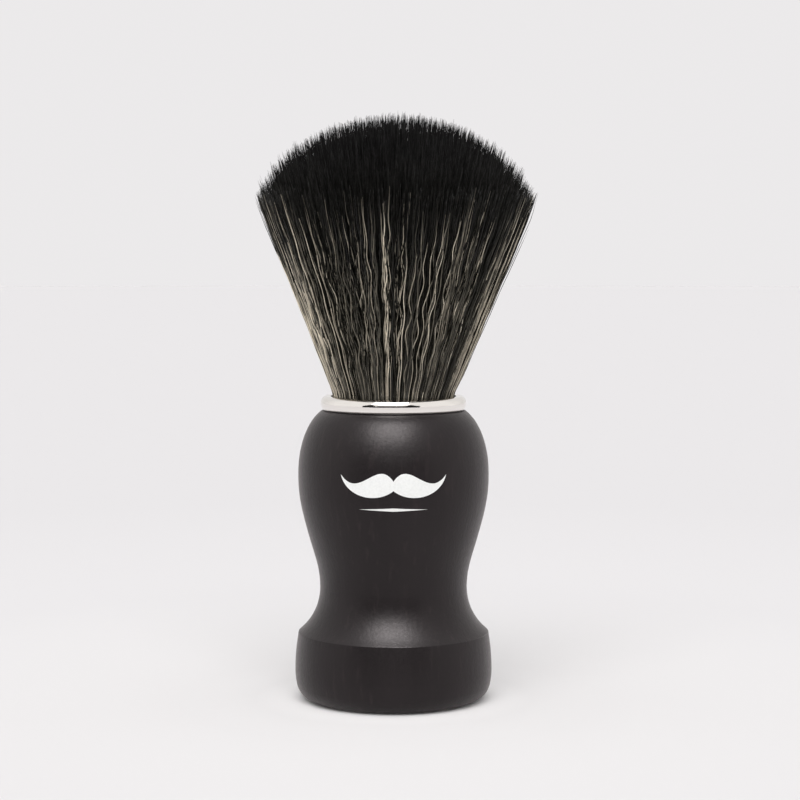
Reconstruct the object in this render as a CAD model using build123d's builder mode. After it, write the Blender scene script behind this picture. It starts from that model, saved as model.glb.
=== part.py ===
from build123d import *
from math import asin, degrees
import os

# A shaving brush that stands on its foot: a turned wooden handle, a metal collar and a fan of bristle.
# The origin is the centre of the foot's flat face, +Z runs up the brush's axis, and the printed mark is
# on the front, at -Y. Sizes are in millimetres.

# Handle, turned from one piece of wood
handle_height = 55.0
foot_radius = 17.4  # where the side meets the floor, before its edge is rounded
base_radius = 18.68  # widest line of the round base
base_widest_z = 5.6
rim_radius = 18.02  # crisp edge on top of the base
rim_z = 12.8
waist_radius = 13.93
waist_z = 21.3
hollow_radius = 15.56  # two points of the long flare from the waist to the bulb
hollow_z = 29.5
swell_radius = 17.19
swell_z = 35.5
bulb_radius = 18.03
bulb_z = 43.0
shoulder_width = 6.9  # half axes of the elliptical shoulder over the bulb
shoulder_rise = 12.6
rim_softening = 0.25
seat_radius = 12.9  # the collar rests on the wood out to here
shadow_gap = 0.25  # open line round the seat, under the collar's outer edge
foot_softening = 3.5

# Socket, bored down from the top of the handle, with a counterbore for the collar's sleeve
socket_radius = 11.9
socket_depth = 15.0
sleeve_radius = 12.3
sleeve_depth = 4.5

# Collar, pressed into the counterbore
collar_height = 2.55
collar_foot_radius = 13.4  # lower edge of the outer wall, just clear of the wood
collar_belly_radius = 13.75  # rounded outer wall, widest at half its height
collar_crown_radius = 12.8  # where the outer wall has turned over to the top
collar_mouth_radius = 11.85
collar_lip_drop = 0.05  # the crown falls this much to the mouth
sleeve_end_gap = 0.4  # left under the sleeve for glue

# Knot: the free bristle above the collar, and its potted root below
loft = 55.0  # free length over the handle
root_radius = 11.3
knot_radius = 11.5  # at the collar's mouth
fan_radius = 26.05
fan_z = 94.4  # height of the widest line
fan_edge_half = 1.5  # the fan's edge is rounded over this much below and above its widest line
fan_edge_under = 0.35  # and comes in by this much at the lower end
fan_edge_over = 0.55  # and this much at the upper end
crown_radius = 15.0  # flatter middle of the dome of tips, out to here
crown_drop = 3.5  # the dome falls this much to the middle's edge
plug_top_z = 51.0
plug_bottom_gap = 0.8  # glue under the plug

# Binding cord round the top of the plug, which is drawn in under it
cord_diameter = 0.9
cord_pitch = 0.95
cord_turns = 3
cord_band_height = 4.0  # drawn-in part of the plug
cord_slack = 0.01  # keeps the round cord just clear of the plug

# Mark, printed on the front of the bulb: a moustache over a short rule
mark_centre_z = 42.2
mark_half_width = 9.6
ink_thickness = 0.06
rule_half_width = 6.2
rule_half_height = 0.3
rule_drop = 4.3  # from the mark's centre line down to the rule

brush_height = handle_height + loft
socket_floor_z = handle_height - socket_depth
plug_bottom_z = socket_floor_z + plug_bottom_gap
collar_top_z = handle_height + collar_height
collar_belly_z = handle_height + collar_height / 2
sleeve_end_z = handle_height - sleeve_depth + sleeve_end_gap
shoulder_top_z = handle_height - shadow_gap
shoulder_angle = degrees(asin((shoulder_top_z - bulb_z) / shoulder_rise))


def flare(out=0.0):
    """The long curve from the waist up to the bulb, moved out from the axis."""
    return Spline(
        (waist_radius + out, waist_z),
        (hollow_radius + out, hollow_z),
        (swell_radius + out, swell_z),
        (bulb_radius + out, bulb_z),
        tangents=((0, 1), (0, 1)),
    )


def shoulder(out=0.0):
    """The elliptical curve from the bulb up to the line under the collar, moved out from the axis."""
    centre = (bulb_radius - shoulder_width + out, bulb_z)
    return EllipticalCenterArc(centre, shoulder_width, shoulder_rise, arc_size=shoulder_angle)


# Handle
with BuildPart() as handle:
    with BuildSketch(Plane.XZ) as turned_profile:
        with BuildLine():
            foot = Line((0, 0), (foot_radius, 0))
            TangentArc((base_radius, base_widest_z), foot @ 1, tangent=(0, -1))
            side = TangentArc((base_radius, base_widest_z), (rim_radius, rim_z), tangent=(0, 1))
            TangentArc((waist_radius, waist_z), side @ 1, tangent=(0, -1))
            flare()
            Polyline(
                shoulder() @ 1,
                (seat_radius, shoulder_top_z),
                (seat_radius, handle_height),
                (0, handle_height),
                (0, 0),
            )
        make_face()
        fillet(turned_profile.vertices().sort_by_distance((rim_radius, rim_z))[0], rim_softening)
        fillet(turned_profile.vertices().sort_by_distance((foot_radius, 0))[0], foot_softening)
    revolve(axis=Axis.Z)
    with Locations((0, 0, handle_height)):
        CounterBoreHole(socket_radius, sleeve_radius, sleeve_depth, socket_depth)
handle.part.label = "handle"

# Collar: a rounded ring over the shoulder, with a thin sleeve down into the counterbore
with BuildPart() as collar_ring:
    with BuildSketch(Plane.XZ):
        with BuildLine():
            inside = Polyline(
                (collar_mouth_radius, collar_top_z - collar_lip_drop),
                (collar_mouth_radius, sleeve_end_z),
                (sleeve_radius, sleeve_end_z),
                (sleeve_radius, handle_height),
                (collar_foot_radius, handle_height),
            )
            under = TangentArc((collar_belly_radius, collar_belly_z), inside @ 1, tangent=(0, -1))
            over = TangentArc(under @ 0, (collar_crown_radius, collar_top_z), tangent=(0, 1))
            Line(over @ 1, inside @ 0)
        make_face()
    revolve(axis=Axis.Z)
collar_ring.part.label = "collar_ring"

# Resin plug: the potted root of the knot, drawn in where the binding cord goes round it
with BuildPart() as knot_resin_plug:
    with BuildSketch(Plane.XY.offset(plug_bottom_z)):
        Circle(root_radius)
    extrude(amount=plug_top_z - cord_band_height - plug_bottom_z)
    with BuildSketch(Plane.XY.offset(plug_top_z - cord_band_height)):
        Circle(root_radius - cord_diameter)
    extrude(amount=cord_band_height)
knot_resin_plug.part.label = "knot_resin_plug"

# Binding cord: three turns wound up the drawn-in band
with BuildPart() as knot_binding_cord:
    cord_start_z = plug_top_z - cord_band_height + cord_diameter / 2
    cord_path_radius = root_radius - cord_diameter / 2
    with BuildLine(Plane.XY.offset(cord_start_z)):
        cord_path = Helix(cord_pitch, cord_pitch * cord_turns, cord_path_radius)
    with BuildSketch(Plane(cord_path @ 0, z_dir=cord_path % 0)):
        Circle(cord_diameter / 2 - cord_slack)
    sweep(path=cord_path, is_frenet=True)
knot_binding_cord.part.label = "knot_binding_cord"

# Glue: a thin cup that fills the socket round and under the plug
with BuildPart() as socket_adhesive:
    with BuildSketch(Plane.XY.offset(socket_floor_z)):
        Circle(socket_radius)
    extrude(amount=socket_depth - sleeve_depth)
    with BuildSketch(Plane.XY.offset(plug_bottom_z)):
        Circle(root_radius)
    extrude(amount=socket_depth, mode=Mode.SUBTRACT)
socket_adhesive.part.label = "socket_adhesive"

# Bristle knot: one closed solid of the fan's outer shape, standing on the plug
with BuildPart() as bristle_knot:
    with BuildSketch(Plane.XZ):
        with BuildLine():
            Polyline(
                (0, brush_height),
                (0, plug_top_z),
                (root_radius, plug_top_z),
                (knot_radius, collar_top_z),
                (fan_radius - fan_edge_under, fan_z - fan_edge_half),
            )
            edge = ThreePointArc(
                (fan_radius - fan_edge_under, fan_z - fan_edge_half),
                (fan_radius, fan_z),
                (fan_radius - fan_edge_over, fan_z + fan_edge_half),
            )
            crown = TangentArc((0, brush_height), (crown_radius, brush_height - crown_drop), tangent=(1, 0))
            TangentArc(crown @ 1, edge @ 1, tangent=crown % 1)
        make_face()
    revolve(axis=Axis.Z)
bristle_knot.part.label = "bristle_knot"

# Printed mark: a film of ink on the handle's skin, cut to the outline of a moustache over a rule
with BuildPart() as printed_mark:
    with BuildSketch(Plane.XZ):
        with BuildLine():
            Line(flare() @ 0, flare(ink_thickness) @ 0)
            Line(shoulder() @ 1, shoulder(ink_thickness) @ 1)
        make_face()
    revolve(axis=Axis.Z)
    with BuildSketch(Plane((0, 0, mark_centre_z), x_dir=(1, 0, 0), z_dir=(0, -1, 0))):
        with BuildLine():
            over = Spline((0, 0.9), (2.5, 2.3), (6.0, 0.7), (mark_half_width, 2.0))
            Spline(over @ 1, (7.3, -1.2), (3.6, -2.1), (0, -0.8))
            mirror(about=Plane.YZ)
        make_face()
        with BuildLine():
            Polyline(
                (-rule_half_width, -rule_drop),
                (0, rule_half_height - rule_drop),
                (rule_half_width, -rule_drop),
                (0, -rule_half_height - rule_drop),
                close=True,
            )
        make_face()
    extrude(amount=base_radius + ink_thickness, mode=Mode.INTERSECT)
printed_mark.part.label = "printed_mark"

os.makedirs("parts", exist_ok=True)
export_step(handle.part, "parts/handle.step")
export_step(collar_ring.part, "parts/collar_ring.step")
export_step(knot_resin_plug.part, "parts/knot_resin_plug.step")
export_step(knot_binding_cord.part, "parts/knot_binding_cord.step")
export_step(socket_adhesive.part, "parts/socket_adhesive.step")
export_step(bristle_knot.part, "parts/bristle_knot.step")
export_step(printed_mark.part, "parts/printed_mark.step")
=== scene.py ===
import math

import bpy
import numpy as np
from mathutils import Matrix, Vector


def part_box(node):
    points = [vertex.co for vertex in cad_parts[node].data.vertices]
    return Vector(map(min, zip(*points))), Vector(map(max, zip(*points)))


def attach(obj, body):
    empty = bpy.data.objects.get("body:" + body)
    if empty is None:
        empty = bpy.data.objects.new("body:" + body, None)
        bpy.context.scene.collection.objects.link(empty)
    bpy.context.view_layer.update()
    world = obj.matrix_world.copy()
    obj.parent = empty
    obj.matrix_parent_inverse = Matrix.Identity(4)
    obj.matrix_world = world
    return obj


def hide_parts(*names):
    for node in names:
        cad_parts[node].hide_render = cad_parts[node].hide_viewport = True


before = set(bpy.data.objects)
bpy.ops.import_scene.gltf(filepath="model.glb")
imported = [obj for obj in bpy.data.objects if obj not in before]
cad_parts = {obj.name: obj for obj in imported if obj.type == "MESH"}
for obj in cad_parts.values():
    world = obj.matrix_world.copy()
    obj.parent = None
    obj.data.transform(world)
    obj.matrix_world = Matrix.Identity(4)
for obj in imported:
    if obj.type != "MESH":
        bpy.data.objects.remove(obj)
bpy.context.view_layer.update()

# The shaving brush's looks: real fibres in place of the plain CAD fan, and materials for every piece.
# Lengths are in metres, +Z is up the brush's axis and the front is at -Y.

MM = 0.001
SEED = 11

# Fan of fibres, with its heights from the CAD knot's and collar's boxes
knot_low, knot_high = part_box("bristle_knot")
_, collar_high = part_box("collar_ring")
ROOT_Z = knot_low.z
MOUTH_Z = collar_high.z
TIP_Z = knot_high.z + 1.5 * MM  # a few tips stand proud of the dome
ROOT_RADIUS = 11.1 * MM
MOUTH_RADIUS = 11.38 * MM
SPREAD = 0.406  # how fast the fan's side runs out, per unit of height
SPREAD_EASE = 0.35 * MM  # the side leaves the collar upright and reaches its full slope over this
DOME_HALF_WIDTH = 28.0 * MM  # half axes of the elliptical dome of tips
DOME_RISE = 24.0 * MM
EDGE_DRAW = 0.15 * MM  # the outermost tips lean in by this
EDGE_Z = 95.0 * MM  # height of the fan's widest line
EDGE_DRAW_START = 88.0 * MM
LEAN = 0.01  # the fan leans to +X by this much of its height
LEAN_START = 0.2 * MM  # and by this much just over the collar
LEAN_START_RISE = 4.0 * MM  # which it reaches over about this height
TUFT_RISE = 0.8 * MM  # tips stand higher round this place, in shares of the fan's radius
TUFT_PLACE = (-0.8, -0.1)
TUFT_REACH = 0.25

# Black fibres stand in small locks whose tips draw together into points. The smaller spreads of these and
# the cream strands are written where they are drawn, in black_fibres and cream_strands.
LOCKS = 3100
FIBRES_PER_LOCK = 6
LOCK_RADIUS = 0.021  # as a share of the fan's radius
LOCK_SCATTER = 0.17  # how far a lock strays from its even place, as a share of the room it has
GOLDEN_TURN = 3.0 - math.sqrt(5.0)  # spreads the locks evenly, in half turns from one to the next
TIP_CLOSING = 0.82  # how far a lock's fibres draw together by the tip
CLOSING_START = 0.86  # share of the free length where they start to
PROUD_LOCKS = 0.12  # this share of the locks stands out from the fan's side at the tip
PROUD_BY = 0.9 * MM
BLACK_RADIUS = 0.07 * MM
OUTER_FROM = 0.8  # share of the fan's radius from which fibres can be seen from the side
OUTER_STEPS = 28
INNER_STEPS = 10
OUTER_PER_PIECE = 1150
INNER_PER_PIECE = 3500

# Cream strands lie over them near the fan's side
CLUMPS = 150
CLUMP_SIZES = (2, 3, 5, 8)
CLUMP_SHARES = (0.4, 0.32, 0.2, 0.08)  # how many of the clumps have each size
CLUMP_SPREAD = 0.017  # radians, times the root of the clump's size
SWATHES = (  # bearing round the axis, number of strands, and the leader that they follow
    (-0.96 * math.pi, 120, 4),
    (-0.9 * math.pi, 90, 5),
    (-0.06 * math.pi, 50, 0),
    (0.42 * math.pi, 40, 1),
)
SWATHE_SPREAD = 0.09  # radians
SWATHE_LEADERS = 10  # rows of leaders' numbers that are drawn for the swathes
SPARE_LEADERS = 10  # and rows that are drawn last, which no strand follows
SINGLES = 400
STRAYS = 36  # single strands that stand out from the fan's side
CREAM_RADIUS = 0.112 * MM
CREAM_STEPS = 44
CREAM_PER_PIECE = 170
FADE_FROM = 77.5 * MM  # height over the floor where the first of them turn black
FADE_SPAN = 20.0 * MM  # and the others do so over this
FADE_HALF = 5.0 * MM  # each turns black over this, both sides of its own height

# The crimp, a wave across the fan's side, and the tips
CRIMP_LENGTH = 9.0 * MM
CRIMP_SIZE = 0.34 * MM
CRIMP_FULL_FROM = 0.3  # share of the free length over which the crimp grows
CRIMP_FULL_TO = 0.65  # from here to the tip it dies down again
CRIMP_LOSS = 0.8  # by this share
RIPPLE_SIZE = 0.25  # a smaller and quicker wave on it
RIPPLE_PACE = 1.7
CRIMP_DEPTH = 0.3  # it waves in towards the axis by this share
DEPTH_LAG = 1.9  # radians after the wave across
LIFT_FULL_FROM = 0.15  # share of the free length by which a lifted strand stands off in full
TAPER_START = 0.86  # share of a fibre's length where it starts to thin
TIP_TAPER = 0.22

# Heights over the floor between which the black fibres' painted light and shade change
PAINTED_LIGHT_TOP = (74.0 * MM, 86.0 * MM)
CROWN_START = (90.0 * MM, 103.5 * MM)
COLLAR_SHADE_RISE = 12.0 * MM  # the cream has painted shade from the collar up to this much over it


# ---------------------------------------------------------------- fibres
def fan_radius(z):
    """Outer radius of the bundle at a height."""
    rise = np.maximum(z - MOUTH_Z, 0.0)
    below = np.clip((MOUTH_Z - z) / (MOUTH_Z - ROOT_Z), 0.0, 1.0)
    neck = MOUTH_RADIUS + (ROOT_RADIUS - MOUTH_RADIUS) * below
    side = SPREAD * (rise - SPREAD_EASE * (1.0 - np.exp(-rise / SPREAD_EASE)))
    draw = EDGE_DRAW * np.clip((z - EDGE_DRAW_START) / (EDGE_Z - EDGE_DRAW_START), 0.0, 2.0) ** 2
    return neck + side - draw


def dome_height(radius):
    """Height of the domed top at a distance from the axis."""
    reach = np.minimum(radius / DOME_HALF_WIDTH, 0.99)
    return TIP_Z - DOME_RISE + DOME_RISE * np.sqrt(1.0 - reach**2)


def tip_heights(share):
    """Height at which a fibre that stands at this share of the fan's radius meets the dome."""
    z = np.full_like(share, EDGE_Z)
    for _ in range(14):  # each turn comes closer, and the last ones hardly change it
        z = 0.5 * (z + dome_height(share * fan_radius(z)))
    return z


def smoothstep(x):
    """Rises smoothly from 0 to 1 as x does."""
    x = np.clip(x, 0.0, 1.0)
    return x * x * (3.0 - 2.0 * x)


def swirl(angle, seed):
    """A slow wander round the axis, about -2 to 2, so that neighbouring fibres wave together."""
    slow = np.sin(3.0 * angle + seed)
    quick = 0.8 * np.sin(8.0 * angle + 2.1 * seed)
    return slow + quick + 0.5 * np.sin(17.0 * angle + seed)


def polar(share, angle):
    """Places across the fan, in shares of its radius, one row each."""
    return np.stack([share * np.cos(angle), share * np.sin(angle)], 1)


class Fibres:
    """Numbers that describe a set of fibres, one row per fibre.

    centre and offset are the place across the fan of a fibre's lock, and of the fibre in the lock, and drift
    is how far it strays from there midway up. phase, length, size and ripple describe the crimp. lift and
    stand are how far it stands off the fan's side at once, and more and more towards the tip. short is how
    far it ends under the dome. shade and fade choose its colour, and width is its radius.
    """

    def __init__(self, centre, **rows):
        self.centre = centre
        self.share = np.linalg.norm(centre, axis=1)
        self.rows = rows

    def __getattr__(self, name):
        return self.rows[name]

    def take(self, chosen):
        """The chosen fibres as a set of their own."""
        return Fibres(self.centre[chosen], **{name: row[chosen] for name, row in self.rows.items()})

    def paths(self, steps):
        """Points along the fibres, an array of fibre by step by XYZ."""
        top = tip_heights(np.minimum(self.share, 1.0)) - self.short
        z = ROOT_Z + (top - ROOT_Z)[:, None] * np.linspace(0.0, 1.0, steps)
        free = np.clip((z - MOUTH_Z) / (top - MOUTH_Z)[:, None], 0.0, 1.0)
        closing = 1.0 - TIP_CLOSING * smoothstep((free - CLOSING_START) / (1.0 - CLOSING_START))
        place = self.centre[:, None, :] + self.offset[:, None, :] * closing[..., None]
        place = place + self.drift[:, None, :] * (4.0 * free * (1.0 - free))[..., None]
        reach = np.linalg.norm(place, axis=2, keepdims=True)
        flat = place / np.maximum(reach, 1.0) * fan_radius(z)[..., None]
        out = self.centre / np.maximum(self.share, 1e-6)[:, None]
        across = np.stack([-out[:, 1], out[:, 0]], 1)
        swing = 2.0 * math.pi * (z - MOUTH_Z) / self.length[:, None] + self.phase[:, None]
        dying = smoothstep((free - CRIMP_FULL_TO) / (1.0 - CRIMP_FULL_TO))
        size = self.size[:, None] * smoothstep(free / CRIMP_FULL_FROM) * (1.0 - CRIMP_LOSS * dying)
        wander = np.sin(swing) + RIPPLE_SIZE * np.sin(RIPPLE_PACE * swing + self.ripple[:, None])
        lift = self.lift[:, None] * smoothstep(free / LIFT_FULL_FROM) + self.stand[:, None] * free**2
        lift = lift + CRIMP_DEPTH * size * (np.sin(swing + DEPTH_LAG) - 1.0)
        flat = flat + across[:, None, :] * (size * wander)[..., None] + out[:, None, :] * lift[..., None]
        rise = np.maximum(z - MOUTH_Z, 0.0)
        flat[..., 0] += LEAN * rise + LEAN_START * (1.0 - np.exp(-rise / LEAN_START_RISE))
        return np.concatenate([flat, z[..., None]], 2)


def black_fibres(rng):
    """The whole fan's black fibres, in locks spread evenly over it."""
    index = np.arange(LOCKS) + 0.5
    places = polar(np.sqrt(index / LOCKS) * (1.0 - 0.6 * LOCK_RADIUS), index * math.pi * GOLDEN_TURN)
    places += rng.normal(0.0, LOCK_SCATTER * math.sqrt(math.pi / LOCKS), places.shape)
    lock = np.repeat(np.arange(LOCKS), FIBRES_PER_LOCK)
    count = len(lock)
    reach = np.sqrt(rng.uniform(0.0, 1.0, count))  # 0 in the middle of its lock, 1 at the lock's side
    short = np.abs(rng.normal(0.0, 0.75, LOCKS)) + rng.uniform(0.0, 0.35, LOCKS)  # in millimetres
    bearing = np.arctan2(places[:, 1], places[:, 0])
    beat = 1.5 * swirl(bearing, 1.0) + rng.normal(0.0, 0.7, LOCKS)
    stand = rng.normal(0.0, 0.2 * MM, LOCKS)
    stand = stand + np.where(rng.uniform(0.0, 1.0, LOCKS) < PROUD_LOCKS, PROUD_BY, 0.0)
    away = np.linalg.norm(places - np.array(TUFT_PLACE), axis=1) / TUFT_REACH
    short -= TUFT_RISE / MM * np.exp(-(away**2))
    return Fibres(
        places[lock],
        offset=polar(LOCK_RADIUS * reach, rng.uniform(0.0, 2.0 * math.pi, count)),
        drift=rng.normal(0.0, 0.012, (count, 2)),
        phase=beat[lock] + rng.normal(0.0, 0.5, count),
        length=CRIMP_LENGTH * (1.0 + 0.05 * swirl(bearing, 4.0))[lock] * rng.uniform(0.95, 1.05, count),
        size=CRIMP_SIZE * rng.uniform(0.5, 1.2, LOCKS)[lock] * rng.uniform(0.8, 1.2, count),
        ripple=rng.uniform(0.0, 2.0 * math.pi, count),
        lift=np.zeros(count),
        stand=stand[lock] + rng.normal(0.0, 0.12 * MM, count),
        short=(short[lock] + 0.5 * reach + rng.uniform(0.0, 1.3, count)) * MM,
        shade=np.clip(rng.normal(0.35, 0.16, count) + (rng.uniform(0.0, 1.0, count) < 0.1) * 0.5, 0.0, 1.0),
        fade=np.zeros(count),
        width=BLACK_RADIUS * rng.uniform(0.8, 1.15, count),
    )


def cream_strands(rng):
    """Cream strands near the fan's side: clumps, broad swathes, singles and a few strays, in this order."""
    size = rng.choice(CLUMP_SIZES, CLUMPS, p=CLUMP_SHARES)
    clump = np.repeat(np.arange(CLUMPS), size)
    bearings, strands, leaders = zip(*SWATHES)
    swathe = np.repeat(bearings, strands)
    free = SINGLES + STRAYS
    clump_angle = rng.uniform(-math.pi, math.pi, CLUMPS)[clump]
    angle = np.concatenate([
        clump_angle + rng.normal(0.0, CLUMP_SPREAD, len(clump)) * np.sqrt(size[clump]),
        swathe + rng.normal(0.0, SWATHE_SPREAD, len(swathe)),
        rng.uniform(-math.pi, math.pi, free),
    ])
    count = len(angle)
    in_swathe = np.repeat([False, True, False], [len(clump), len(swathe), free])
    stray = np.arange(count) >= count - STRAYS

    # How deep in the fan each strand lies, as a share of its radius
    depth = np.abs(rng.normal(0.0, 0.035, count))
    clump_depth = np.abs(rng.normal(0.0, 0.03, CLUMPS))[clump]
    depth[: len(clump)] = clump_depth + rng.uniform(0.0, 0.012, len(clump))
    depth[stray] = 0.0

    # A clump's or swathe's strands follow one leader, and the others lead themselves
    leader = np.concatenate([
        clump,
        CLUMPS + np.repeat(leaders, strands),
        CLUMPS + SWATHE_LEADERS + np.arange(free),
    ])
    all_leaders = CLUMPS + SWATHE_LEADERS + free + SPARE_LEADERS
    beat, pace, crimp, light = rng.uniform(0.0, 1.0, (all_leaders, 4))[leader].T
    # painted shade: strands that lie deeper in the fan are darker
    bright = 0.77 * light**1.5 + 0.3 * rng.uniform(0.0, 1.0, count) - 4.0 * depth
    bright[in_swathe] = 0.6 + 0.4 * rng.uniform(0.0, 1.0, len(swathe)) - 3.0 * depth[in_swathe]
    own_pace = 0.78 + 0.36 * pace + 0.04 * swirl(angle, 4.0)
    own_crimp = 0.42 + 0.72 * crimp**1.5
    return Fibres(
        polar(1.0 - depth, angle),
        offset=np.zeros((count, 2)),
        drift=polar(rng.normal(0.0, 0.014, count), angle + math.pi / 2),
        phase=1.5 * swirl(angle, 1.0) + 1.6 * beat + rng.normal(0.0, 0.45, count),
        length=CRIMP_LENGTH * own_pace * rng.uniform(0.97, 1.03, count),
        size=CRIMP_SIZE * own_crimp * rng.uniform(0.8, 1.2, count) * np.where(in_swathe, 0.6, 1.0),
        ripple=rng.uniform(0.0, 2.0 * math.pi, count),
        lift=np.where(depth < 0.02, rng.uniform(0.0, 0.2 * MM, count), 0.0) * np.where(in_swathe, 0.3, 1.0),
        stand=np.where(
            stray,
            rng.uniform(0.1 * MM, 0.7 * MM, count),
            rng.uniform(-0.15 * MM, 0.15 * MM, count),
        ),
        short=rng.uniform(0.0, 6.0 * MM, count) + np.where(stray, rng.uniform(0.0, 9.0 * MM, count), 0.0),
        shade=np.clip(bright, 0.0, 1.0),
        fade=FADE_FROM
        + FADE_SPAN * rng.uniform(0.0, 1.0, count)
        + np.where(stray, 8.0 * MM, 0.0)
        - np.where(in_swathe, 3.0 * MM, 0.0),
        width=CREAM_RADIUS * rng.uniform(0.7, 1.2, count),
    )


def tube_mesh(name, fibres, steps):
    """One mesh of closed three-sided tubes, one per fibre, with each fibre's shade and fade as attributes.
    """
    paths = fibres.paths(steps)
    count = len(paths)
    thinning = smoothstep((np.linspace(0.0, 1.0, steps) - TAPER_START) / (1.0 - TAPER_START))
    taper = 1.0 - (1.0 - TIP_TAPER) * thinning
    turn = np.arctan2(paths[:, 0, 1], paths[:, 0, 0])[:, None] + np.arange(3) * 2.0 * math.pi / 3.0
    ring = np.stack([np.cos(turn), np.sin(turn), np.zeros_like(turn)], 2)
    width = fibres.width[:, None] * taper
    points = paths[:, :, None, :] + ring[:, None, :, :] * width[:, :, None, None]
    first = np.arange(count)[:, None, None] * steps * 3
    rings = first + np.arange(steps - 1)[None, :, None] * 3
    low = rings + np.arange(3)
    next_low = rings + (np.arange(3) + 1) % 3
    quads = np.stack([low, next_low, next_low + 3, low + 3], 3).reshape(-1, 4)
    bottoms = (first[:, 0] + np.array([2, 1, 0])).reshape(-1, 3)
    tops = (first[:, 0] + (steps - 1) * 3 + np.array([0, 1, 2])).reshape(-1, 3)
    corners = np.concatenate([quads.ravel(), bottoms.ravel(), tops.ravel()])
    sizes = np.concatenate([np.full(len(quads), 4), np.full(len(bottoms) + len(tops), 3)])
    mesh = bpy.data.meshes.new(name)
    mesh.vertices.add(points.size // 3)
    mesh.vertices.foreach_set("co", points.astype(np.float32).ravel())
    mesh.loops.add(len(corners))
    mesh.loops.foreach_set("vertex_index", corners.astype(np.int32))
    mesh.polygons.add(len(sizes))
    starts = np.concatenate([[0], np.cumsum(sizes)[:-1]])
    mesh.polygons.foreach_set("loop_start", starts.astype(np.int32))
    mesh.polygons.foreach_set("use_smooth", np.ones(len(sizes), bool))
    mesh.update(calc_edges=True)
    for label, row in (("shade", fibres.shade), ("fade", fibres.fade)):
        made = mesh.attributes.new(label, "FLOAT", "POINT")
        made.data.foreach_set("value", np.repeat(row, steps * 3).astype(np.float32))
    return mesh


def add_fibres(name, fibres, steps, per_piece, material):
    """The fibres as pieces of a limited size, split by their bearing round the axis."""
    order = np.argsort(np.arctan2(fibres.centre[:, 1], fibres.centre[:, 0]))
    pieces = math.ceil(len(order) / per_piece)
    for number, part in enumerate(np.array_split(order, pieces), 1):
        mesh = tube_mesh(f"{name}_{number}", fibres.take(part), steps)
        mesh.materials.append(material)
        piece = bpy.data.objects.new(f"{name}_{number}", mesh)
        bpy.context.scene.collection.objects.link(piece)
        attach(piece, "root")
        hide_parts("bristle_knot")


# ---------------------------------------------------------------- materials
class Nodes:
    """A tree of shader nodes being made."""

    def __init__(self, tree):
        self.tree = tree

    def add(self, kind, **settings):
        """A new shader node of this kind."""
        made = self.tree.nodes.new("ShaderNode" + kind)
        for name, value in settings.items():
            setattr(made, name, value)
        return made

    def link(self, source, target):
        self.tree.links.new(source, target)

    def feed(self, value, socket):
        """Writes a number or a colour on a socket, or links another node's output to it."""
        if isinstance(value, (int, float, tuple)):
            socket.default_value = value
        else:
            self.link(value, socket)

    def axes(self, coordinates):
        """X, Y and Z of one kind of texture coordinates."""
        where = self.add("TexCoord")
        split = self.add("SeparateXYZ")
        self.link(where.outputs[coordinates], split.inputs["Vector"])
        return [split.outputs[axis] for axis in "XYZ"]

    def maths(self, operation, first, second=0.0):
        made = self.add("Math", operation=operation)
        self.feed(first, made.inputs[0])
        self.feed(second, made.inputs[1])
        return made.outputs["Value"]

    def rescale(self, source, low, high, to_low=0.0, to_high=1.0):
        """Maps low..high to to_low..to_high, and stays between them."""
        made = self.add("MapRange", clamp=True)
        for name, value in (("From Min", low), ("From Max", high), ("To Min", to_low), ("To Max", to_high)):
            made.inputs[name].default_value = value
        self.link(source, made.inputs["Value"])
        return made.outputs["Result"]


class Look(Nodes):
    """A material being made: its node tree and its one Principled shader."""

    def __init__(self, name):
        self.material = bpy.data.materials.new(name)
        self.material.use_nodes = True
        super().__init__(self.material.node_tree)
        self.shader = self.tree.nodes["Principled BSDF"]

    def set(self, **values):
        """Sets the shader's sockets, named with _ for a space."""
        for name, value in values.items():
            self.shader.inputs[name.replace("_", " ")].default_value = value

    def place(self, scale):
        """Object coordinates stretched by a scale for each axis, in repeats per metre."""
        where = self.add("TexCoord")
        stretch = self.add("Mapping")
        stretch.inputs["Scale"].default_value = scale
        self.link(where.outputs["Object"], stretch.inputs["Vector"])
        return stretch.outputs["Vector"]

    def noise(self, scale, detail=3.0, distortion=0.0):
        """Noise over object coordinates, with a scale for each axis in repeats per metre."""
        made = self.add("TexNoise")
        made.inputs["Scale"].default_value = 1.0
        made.inputs["Detail"].default_value = detail
        made.inputs["Roughness"].default_value = 0.55
        made.inputs["Distortion"].default_value = distortion
        self.link(self.place(scale), made.inputs["Vector"])
        return made.outputs["Fac"]

    def ramp(self, source, *stops):
        """A colour ramp over (position, colour) stops."""
        made = self.add("ValToRGB")
        steps = made.color_ramp.elements
        while len(steps) < len(stops):
            steps.new(0.5)
        for step, (position, colour) in zip(steps, stops):
            step.position = position
            step.color = (*colour, 1.0)
        self.link(source, made.inputs["Fac"])
        return made.outputs["Color"]

    def mix(self, share, first, second):
        """Goes from the first colour to the second as the share goes from 0 to 1."""
        made = self.add("Mix", data_type="RGBA")
        for value, socket in ((share, 0), (first, 6), (second, 7)):
            self.feed(value, made.inputs[socket])
        return made.outputs[2]

    def attribute(self, name):
        return self.add("Attribute", attribute_name=name).outputs["Fac"]

    def height(self):
        """Height over the floor, in metres."""
        return self.axes("Object")[2]

    def colour(self, source):
        self.link(source, self.shader.inputs["Base Color"])

    def roughness(self, source):
        self.link(source, self.shader.inputs["Roughness"])

    def bump(self, source, distance):
        made = self.add("Bump")
        made.inputs["Distance"].default_value = distance
        self.link(source, made.inputs["Height"])
        self.link(made.outputs["Normal"], self.shader.inputs["Normal"])


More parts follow.
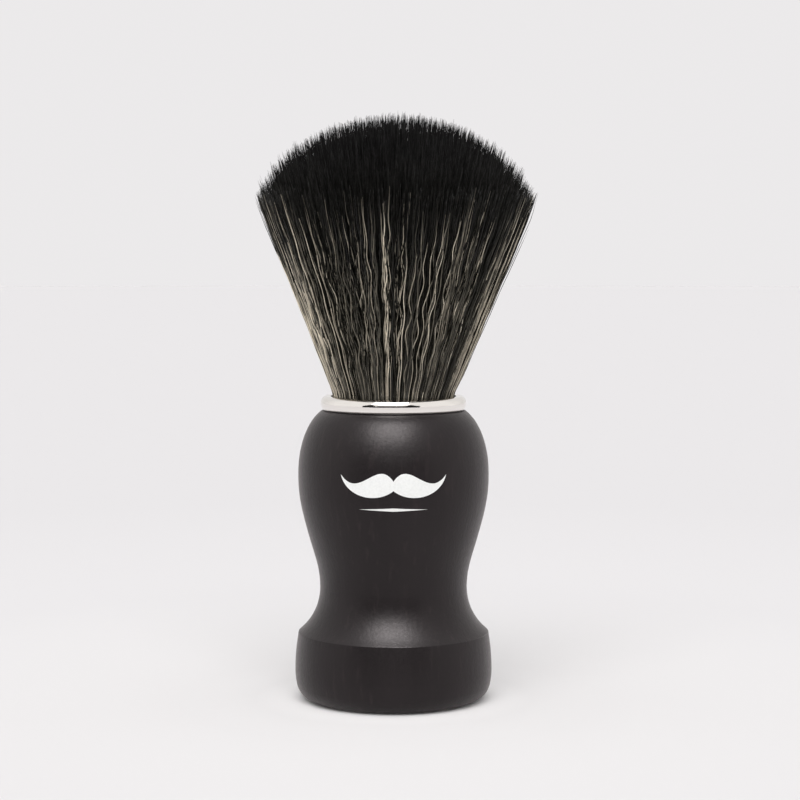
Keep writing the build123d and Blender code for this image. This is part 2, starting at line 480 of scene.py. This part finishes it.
def stained_wood():
    look = Look("stained_wood")
    look.set(Specular_IOR_Level=0.25, Specular_Tint=(1.0, 0.94, 0.945, 1.0))
    look.set(Sheen_Weight=0.15, Sheen_Roughness=0.35, Sheen_Tint=(1.0, 0.88, 0.88, 1.0))
    grain = look.noise((900.0, 900.0, 110.0), detail=5.0)
    broad = look.noise((90.0, 90.0, 12.0), detail=3.0)
    stain = look.ramp(broad, (0.3, (0.0086, 0.0066, 0.0072)), (0.75, (0.0136, 0.0106, 0.0115)))
    fleck = look.rescale(grain, 0.56, 0.74)
    look.colour(look.mix(fleck, stain, (0.0185, 0.0138, 0.0146, 1.0)))
    mottle = look.noise((2000.0, 2000.0, 1700.0), detail=3.0)
    look.roughness(look.rescale(mottle, 0.3, 0.7, 0.34, 0.44))
    look.bump(look.maths("ADD", grain, mottle), 0.026 * MM)
    return look.material


def polished_metal():
    look = Look("polished_metal")
    look.set(Metallic=1.0)
    wipe = look.noise((300.0, 300.0, 3000.0), detail=4.0)
    look.colour(look.ramp(wipe, (0.2, (0.85, 0.815, 0.775)), (0.8, (0.9, 0.87, 0.835))))
    look.roughness(look.rescale(wipe, 0.3, 0.7, 0.035, 0.085))
    look.bump(wipe, 0.002 * MM)
    return look.material


def white_ink():
    look = Look("white_ink")
    look.set(Specular_IOR_Level=0.4)
    grit = look.noise((2500.0, 2500.0, 2500.0), detail=2.0)
    look.colour(look.ramp(grit, (0.25, (0.77, 0.785, 0.775)), (0.6, (0.83, 0.845, 0.835))))
    look.roughness(look.rescale(grit, 0.3, 0.7, 0.45, 0.6))
    look.bump(grit, 0.01 * MM)
    return look.material


def black_fibre():
    """Painted light, slightly olive, low in the fan for light through the fibres, and painted shade to deep
    black at the crown.
    """
    look = Look("black_fibre")
    look.set(Specular_IOR_Level=0.015, Roughness=0.6)
    streak = look.noise((3000.0, 3000.0, 160.0), detail=2.0)
    tone = look.maths("ADD", look.attribute("shade"), look.maths("SUBTRACT", streak, 0.5))
    low = look.ramp(
        tone,
        (0.1, (0.0125, 0.0122, 0.0095)),
        (0.6, (0.019, 0.0184, 0.015)),
        (1.0, (0.06, 0.057, 0.048)),
    )
    high = look.ramp(
        tone,
        (0.1, (0.0095, 0.0094, 0.0084)),
        (0.45, (0.017, 0.0167, 0.0152)),
        (0.85, (0.046, 0.0452, 0.0412)),
    )
    top = look.ramp(
        tone,
        (0.1, (0.0035, 0.0034, 0.0034)),
        (0.45, (0.0095, 0.0092, 0.0092)),
        (0.85, (0.03, 0.0294, 0.0292)),
    )
    # painted light low in the fan and painted shade at the crown, chosen by height
    side = look.mix(look.rescale(look.height(), *PAINTED_LIGHT_TOP), low, high)
    look.colour(look.mix(look.rescale(look.height(), *CROWN_START), side, top))
    return look.material


def cream_fibre():
    """Nearly black to cream by each strand's shade, with painted shade at the collar, and faded out towards
    the tip.
    """
    look = Look("cream_fibre")
    look.set(Specular_IOR_Level=0.35, Roughness=0.38)
    streak = look.noise((1500.0, 1500.0, 120.0), detail=2.0)
    weak_streak = look.maths("MULTIPLY", look.maths("SUBTRACT", streak, 0.5), 0.5)
    pale = look.ramp(
        look.maths("ADD", look.attribute("shade"), weak_streak),
        (0.05, (0.02, 0.0195, 0.0155)),
        (0.4, (0.1, 0.092, 0.071)),
        (0.62, (0.45, 0.4, 0.315)),
        (0.9, (0.93, 0.84, 0.68)),
    )
    beyond = look.maths("SUBTRACT", look.height(), look.attribute("fade"))
    faded = look.mix(look.rescale(beyond, -FADE_HALF, FADE_HALF), pale, (0.008, 0.0075, 0.007, 1.0))
    # painted shade where the strands go down into the collar
    collar_shade = look.rescale(look.height(), MOUTH_Z, MOUTH_Z + COLLAR_SHADE_RISE, 0.38, 0.0)
    look.colour(look.mix(collar_shade, faded, (0.03, 0.027, 0.023, 1.0)))
    return look.material


def potting_resin():
    look = Look("potting_resin")
    look.set(Roughness=0.25)
    streak = look.noise((1400.0, 1400.0, 60.0), detail=3.0)
    look.colour(look.ramp(streak, (0.35, (0.05, 0.03, 0.015)), (0.7, (0.22, 0.14, 0.06))))
    look.bump(streak, 0.05 * MM)
    return look.material


def binding_twine():
    look = Look("binding_twine")
    look.set(Roughness=0.7, Sheen_Weight=0.3)
    ply = look.noise((900.0, 900.0, 2600.0), detail=3.0, distortion=0.6)
    look.colour(look.ramp(ply, (0.3, (0.32, 0.26, 0.18)), (0.7, (0.62, 0.54, 0.42))))
    look.bump(ply, 0.12 * MM)
    return look.material


def epoxy():
    look = Look("epoxy")
    look.set(Roughness=0.3)
    cloud = look.noise((200.0, 200.0, 200.0), detail=4.0)
    look.colour(look.ramp(cloud, (0.3, (0.36, 0.3, 0.17)), (0.7, (0.52, 0.46, 0.3))))
    look.bump(cloud, 0.05 * MM)
    return look.material


def dress(node, material):
    """Gives a CAD node that stays its finished material."""
    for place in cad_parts[node].material_slots:
        place.material = material


# ---------------------------------------------------------------- studio
FLOOR_RADIUS = 5.0
FLOOR_SIDES = 96
FLOOR_FAR = 0.32
FLOOR_PAINTED_LIGHT = (  # by distance from the axis, painted light that brightens the floor near the brush against its shadow
    (0.018, (0.9, 0.893, 0.9)),
    (0.026, (0.795, 0.789, 0.797)),
    (0.04, (0.765, 0.759, 0.768)),
    (0.07, (0.74, 0.735, 0.745)),
    (0.13, (0.7, 0.695, 0.709)),
    (FLOOR_FAR, (0.67, 0.665, 0.679)),
)
BACKDROP = (0.835, 0.82, 0.826, 1.0)
CAMERA_DISTANCE = 0.41074
CAMERA_HEIGHT = 0.08471
CAMERA_PITCH = math.radians(3.897)
CAMERA_LENS = 98.04
CAMERA_SHIFT = 0.00815
TENT_LIGHT = 0.93
BACK_LIGHT = 0.78  # the tent is dimmer behind the brush
BACK_FROM = math.radians(125.0)  # past this bearing from the front
BACK_SOFT = 0.3  # radians, each way
WINDOW_SOFT = 4.0  # the window's brightness for the light it spreads
WINDOW_POWER = 25.5  # more of it, for what glossy surfaces mirror
WINDOW_DISTANCE = 1.2
WINDOW_LOW, WINDOW_HIGH = math.radians(37.5), math.radians(84.0)
WINDOW_SIDE = math.radians(34.0)
WINDOW_TURN = math.radians(-6.0)  # the window stands a little to the left
WINDOW_EDGE = math.radians(2.0)  # its edge is soft over this, each way
BRUSH_MIDDLE = 0.05  # the height that the lamp points at
FLAG_DISTANCE = 0.33
FLAG_HEIGHT = 0.15
FLAG_HORNS = 0.12  # the flag stands higher near its two ends
HORN_PLACE = 0.72  # in shares of the flag's half width
HORN_WIDTH = 0.12
FLAG_PANELS = 24
FLAG_SIDE = math.radians(45.0)
FLAG_TURN = math.radians(-4.0)


def stage_mesh(name, points, faces, material):
    """A piece of the studio, which isn't part of the brush."""
    mesh = bpy.data.meshes.new(name)
    mesh.from_pydata(points, [], faces)
    mesh.materials.append(material)
    piece = bpy.data.objects.new(name, mesh)
    bpy.context.scene.collection.objects.link(piece)
    return piece


def add_floor():
    """A round floor with painted light, whose colour changes with the distance from the brush."""
    turn = [2.0 * math.pi * step / FLOOR_SIDES for step in range(FLOOR_SIDES)]
    points = [(FLOOR_RADIUS * math.cos(angle), FLOOR_RADIUS * math.sin(angle), 0.0) for angle in turn]
    look = Look("pale_floor")
    look.set(Roughness=0.9, Specular_IOR_Level=0.0)
    reach = look.add("VectorMath", operation="LENGTH")
    look.link(look.place((1.0, 1.0, 1.0)), reach.inputs[0])
    share = look.rescale(reach.outputs["Value"], 0.0, FLOOR_FAR)
    # painted light: the floor is brighter near the brush, against its shadow
    look.colour(look.ramp(share, *((radius / FLOOR_FAR, shade) for radius, shade in FLOOR_PAINTED_LIGHT)))
    stage_mesh("pale_floor", points, [range(FLOOR_SIDES)], look.material)


def add_flag():
    """A dark curved screen low in front, which only glossy surfaces see."""
    points = []
    for step in range(FLAG_PANELS + 1):
        share = 2.0 * step / FLAG_PANELS - 1.0
        angle = FLAG_TURN + FLAG_SIDE * share
        height = FLAG_HEIGHT + FLAG_HORNS * math.exp(-(((abs(share) - HORN_PLACE) / HORN_WIDTH) ** 2))
        x, y = FLAG_DISTANCE * math.sin(angle), -FLAG_DISTANCE * math.cos(angle)
        points += [(x, y, 0.0), (x, y, height)]
    faces = [(2 * step, 2 * step + 2, 2 * step + 3, 2 * step + 1) for step in range(FLAG_PANELS)]
    look = Look("dark_flag")
    look.set(Roughness=0.9, Specular_IOR_Level=0.0, Base_Color=(0.02, 0.02, 0.02, 1.0))
    flag = stage_mesh("dark_flag", points, faces, look.material)
    flag.visible_camera = False
    flag.visible_diffuse = False
    flag.visible_shadow = False
    flag.visible_transmission = False
    flag.visible_volume_scatter = False


def add_world():
    """A white tent with a large soft window high in front."""
    world = bpy.data.worlds.new("studio")
    bpy.context.scene.world = world
    world.use_nodes = True
    nodes = Nodes(world.node_tree)
    nodes.tree.nodes.clear()
    maths = nodes.maths

    def step(value, edge, soft):
        """Rises from 0 to 1 as a value passes an edge."""
        return nodes.rescale(value, edge - soft, edge + soft)

    x, y, z = nodes.axes("Generated")
    rise = maths("ARCSINE", z)
    bearing = maths("ARCTAN2", x, maths("MULTIPLY", y, -1.0))
    side = maths("ABSOLUTE", maths("SUBTRACT", bearing, WINDOW_TURN))
    tall = maths("SUBTRACT", step(rise, WINDOW_LOW, WINDOW_EDGE), step(rise, WINDOW_HIGH, WINDOW_EDGE))
    window = maths("MULTIPLY", tall, maths("SUBTRACT", 1.0, step(side, WINDOW_SIDE, WINDOW_EDGE)))
    behind = step(maths("ABSOLUTE", bearing), BACK_FROM, BACK_SOFT)
    tent = maths("ADD", maths("MULTIPLY", behind, BACK_LIGHT - TENT_LIGHT), TENT_LIGHT)
    light = maths("ADD", maths("MULTIPLY", window, WINDOW_SOFT - TENT_LIGHT), tent)
    lit = nodes.add("Background")
    nodes.link(light, lit.inputs["Strength"])
    lit.inputs["Color"].default_value = (1.0, 0.985, 0.975, 1.0)
    seen = nodes.add("Background")
    seen.inputs["Color"].default_value = BACKDROP
    choose = nodes.add("MixShader")
    ray = nodes.add("LightPath")
    nodes.link(ray.outputs["Is Camera Ray"], choose.inputs[0])
    nodes.link(lit.outputs[0], choose.inputs[1])
    nodes.link(seen.outputs[0], choose.inputs[2])
    nodes.link(choose.outputs[0], nodes.add("OutputWorld").inputs["Surface"])


def add_window():
    """The same window as a lamp that only glossy surfaces see."""
    middle = 0.5 * (WINDOW_LOW + WINDOW_HIGH)
    lamp = bpy.data.lights.new("window", "AREA")
    lamp.shape = "RECTANGLE"
    lamp.energy = WINDOW_POWER
    lamp.size = 2.0 * WINDOW_DISTANCE * math.cos(middle) * math.tan(WINDOW_SIDE)
    lamp.size_y = 2.0 * WINDOW_DISTANCE * math.tan(0.5 * (WINDOW_HIGH - WINDOW_LOW))
    window = bpy.data.objects.new("window", lamp)
    bpy.context.scene.collection.objects.link(window)
    reach = WINDOW_DISTANCE * math.cos(middle)
    height = WINDOW_DISTANCE * math.sin(middle) + BRUSH_MIDDLE
    window.location = (reach * math.sin(WINDOW_TURN), -reach * math.cos(WINDOW_TURN), height)
    window.rotation_euler = (math.pi / 2 - middle, 0.0, WINDOW_TURN)
    window.visible_camera = False
    window.visible_diffuse = False


def add_camera():
    """A long lens a little over the collar's height, looking slightly down."""
    camera = bpy.data.objects.new("camera", bpy.data.cameras.new("camera"))
    bpy.context.scene.collection.objects.link(camera)
    camera.location = (0.0, -CAMERA_DISTANCE, CAMERA_HEIGHT)
    camera.rotation_euler = (math.pi / 2 - CAMERA_PITCH, 0.0, 0.0)
    camera.data.lens = CAMERA_LENS
    camera.data.shift_x = CAMERA_SHIFT
    camera.data.clip_start = 0.01
    bpy.context.scene.camera = camera


# ---------------------------------------------------------------- making
add_camera()
add_world()
add_floor()
add_flag()
add_window()
bpy.context.scene.view_settings.view_transform = "Standard"

rng = np.random.default_rng(SEED)
black = black_fibres(rng)
cream = cream_strands(rng)
black_look, cream_look = black_fibre(), cream_fibre()
add_fibres("bristle_inner", black.take(black.share <= OUTER_FROM), INNER_STEPS, INNER_PER_PIECE, black_look)
add_fibres("bristle_outer", black.take(black.share > OUTER_FROM), OUTER_STEPS, OUTER_PER_PIECE, black_look)
add_fibres("bristle_cream", cream, CREAM_STEPS, CREAM_PER_PIECE, cream_look)

dress("handle", stained_wood())
dress("collar_ring", polished_metal())
dress("printed_mark", white_ink())
dress("knot_resin_plug", potting_resin())
dress("knot_binding_cord", binding_twine())
dress("socket_adhesive", epoxy())
